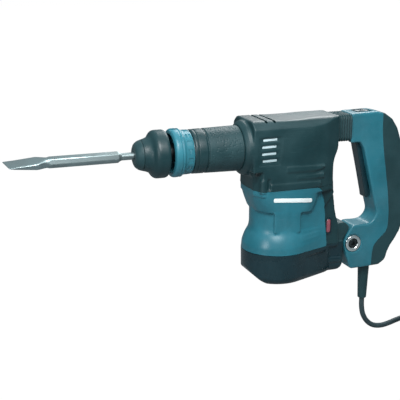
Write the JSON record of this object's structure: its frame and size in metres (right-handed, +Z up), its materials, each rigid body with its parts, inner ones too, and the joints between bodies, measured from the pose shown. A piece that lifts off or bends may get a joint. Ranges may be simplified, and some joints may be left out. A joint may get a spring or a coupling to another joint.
{
  "type": "electric jackhammer",
  "caption": "Hand-held electric jackhammer: flat chisel in a quick-release chuck, dimpled barrel grip, upright motor, sprung D handle with long trigger, and a mains cord with plug.",
  "frame": {"origin": "on the tool axis, inside the barrel grip, near its middle, where the front hand holds the tool", "axes": "+X along the tool axis from the chisel to the rear handle, +Z up from the base cap to the top casing, +Y to the right seen from behind"},
  "size_m": [0.7503, 0.1357, 0.354],
  "materials": {
    "teal_housing": "satin moulded",
    "teal_ring": "satin moulded",
    "black_casing": "fine grain",
    "grip_rubber": "dimpled",
    "cord_rubber": "matt",
    "tie_strap": "matt",
    "forged_steel": "forged and ground",
    "bright_steel": "turned",
    "dark_steel": "blackened",
    "cast_aluminium": "cast",
    "copper_winding": "varnished",
    "brush_carbon": "graphite",
    "nylon": "natural",
    "red_lens": "clear lens"
  },
  "bodies": {
    "root": {"motor_housing": "teal_housing", "top_casing": "black_casing", "base_cap": "black_casing", "rear_cover": "black_casing", "barrel_collar": "black_casing", "vent_grille_left": "black_casing", "vent_grille_right": "black_casing", "barrel_grip": "grip_rubber", "top_bellows": "grip_rubber", "dust_cover": "grip_rubber", "cylinder": "forged_steel", "damper_spring": "forged_steel", "crank_bearing": "bright_steel", "lower_bearing": "bright_steel", "upper_bearing": "bright_steel", "holder_bush": "dark_steel", "field": "dark_steel", "barrel_housing": "cast_aluminium", "gear_housing": "cast_aluminium", "handle_bracket": "cast_aluminium", "brush_left": "brush_carbon", "brush_right": "brush_carbon", "brush_holder_left": "nylon", "brush_holder_right": "nylon", "indicator_lamp": "red_lens"},
    "handle": {"handle_left": "teal_housing", "handle_right": "teal_housing", "handle_rubber": "grip_rubber", "switch_body": "nylon", "pivot_sleeve": "forged_steel", "pivot_bush_left": "bright_steel", "pivot_bush_right": "bright_steel", "pivot_screw_left": "dark_steel", "pivot_screw_right": "dark_steel", "cord_guard": "grip_rubber", "cord": "cord_rubber", "cord_coil": "cord_rubber", "coil_tie": "tie_strap", "plug": "cord_rubber"},
    "trigger": {"trigger": "black_casing"},
    "switch_slide": {"switch_slide": "black_casing"},
    "turret": {"tool_holder": "dark_steel", "locking_ball": "bright_steel", "nose_cap": "grip_rubber", "chuck_spring": "forged_steel"},
    "change_ring": {"change_ring": "teal_ring"},
    "chuck_cover": {"chuck_cover": "black_casing"},
    "chisel": {"chisel": "forged_steel"},
    "impact_bolt": {"impact_bolt": "forged_steel"},
    "striker": {"striker": "forged_steel"},
    "piston": {"piston": "cast_aluminium", "piston_pin": "forged_steel", "connecting_rod": "cast_aluminium", "crank_pin": "forged_steel"},
    "crank": {"crank_shaft": "dark_steel", "crank_gear": "dark_steel"},
    "armature": {"armature": "copper_winding", "cooling_fan": "nylon"}
  },
  "joints": [
    {"name": "handle_swing", "type": "hinge", "parent": "root", "child": "handle", "pos_m": [0.206, 0, -0.1555], "axis": [0, 1, 0], "range_deg": [-1.5, 1], "stiffness_Nm_per_rad": 600, "deforming": ["top_bellows", "damper_spring"]},
    {"name": "trigger_press", "type": "hinge", "parent": "handle", "child": "trigger", "pos_m": [0.2295, 0, -0.0855], "axis": [0, 1, 0], "range_deg": [0, 5.5], "stiffness_Nm_per_rad": 1, "springref_deg": -2.86},
    {"name": "lock_slide", "type": "slide", "parent": "handle", "child": "switch_slide", "axis": [1, 0, 0], "range_m": [0, 0.004]},
    {"name": "chuck_turn", "type": "hinge", "parent": "root", "child": "turret", "pos_m": [-0.074, 0, 0], "axis": [1, 0, 0], "continuous": true},
    {"name": "ring_slide", "type": "slide", "parent": "turret", "child": "change_ring", "axis": [-1, 0, 0], "range_m": [0, 0.002], "stiffness_N_per_m": 300, "springref_m": -0.004},
    {"name": "cover_slide", "type": "slide", "parent": "turret", "child": "chuck_cover", "axis": [1, 0, 0], "range_m": [0, 0.004], "stiffness_N_per_m": 400, "springref_m": -0.006, "deforming": ["chuck_spring"]},
    {"name": "chisel_play", "type": "slide", "parent": "turret", "child": "chisel", "axis": [1, 0, 0], "range_m": [0, 0.006]},
    {"name": "impact_bolt_slide", "type": "slide", "parent": "root", "child": "impact_bolt", "axis": [-1, 0, 0], "range_m": [0, 0.004]},
    {"name": "striker_slide", "type": "slide", "parent": "root", "child": "striker", "axis": [1, 0, 0], "range_m": [0, 0.012]},
    {"name": "piston_slide", "type": "slide", "parent": "root", "child": "piston", "axis": [-1, 0, 0], "range_m": [0, 0.022]},
    {"name": "crank_spin", "type": "hinge", "parent": "root", "child": "crank", "pos_m": [0.1175, 0, -0.0295], "axis": [0, 0, 1], "continuous": true},
    {"name": "armature_spin", "type": "hinge", "parent": "root", "child": "armature", "pos_m": [0.086, 0, -0.1055], "axis": [0, 0, 1], "continuous": true}
  ],
  "couplings": [
    {"joint": "armature_spin", "follows": "crank_spin", "ratio": -6}
  ]
}
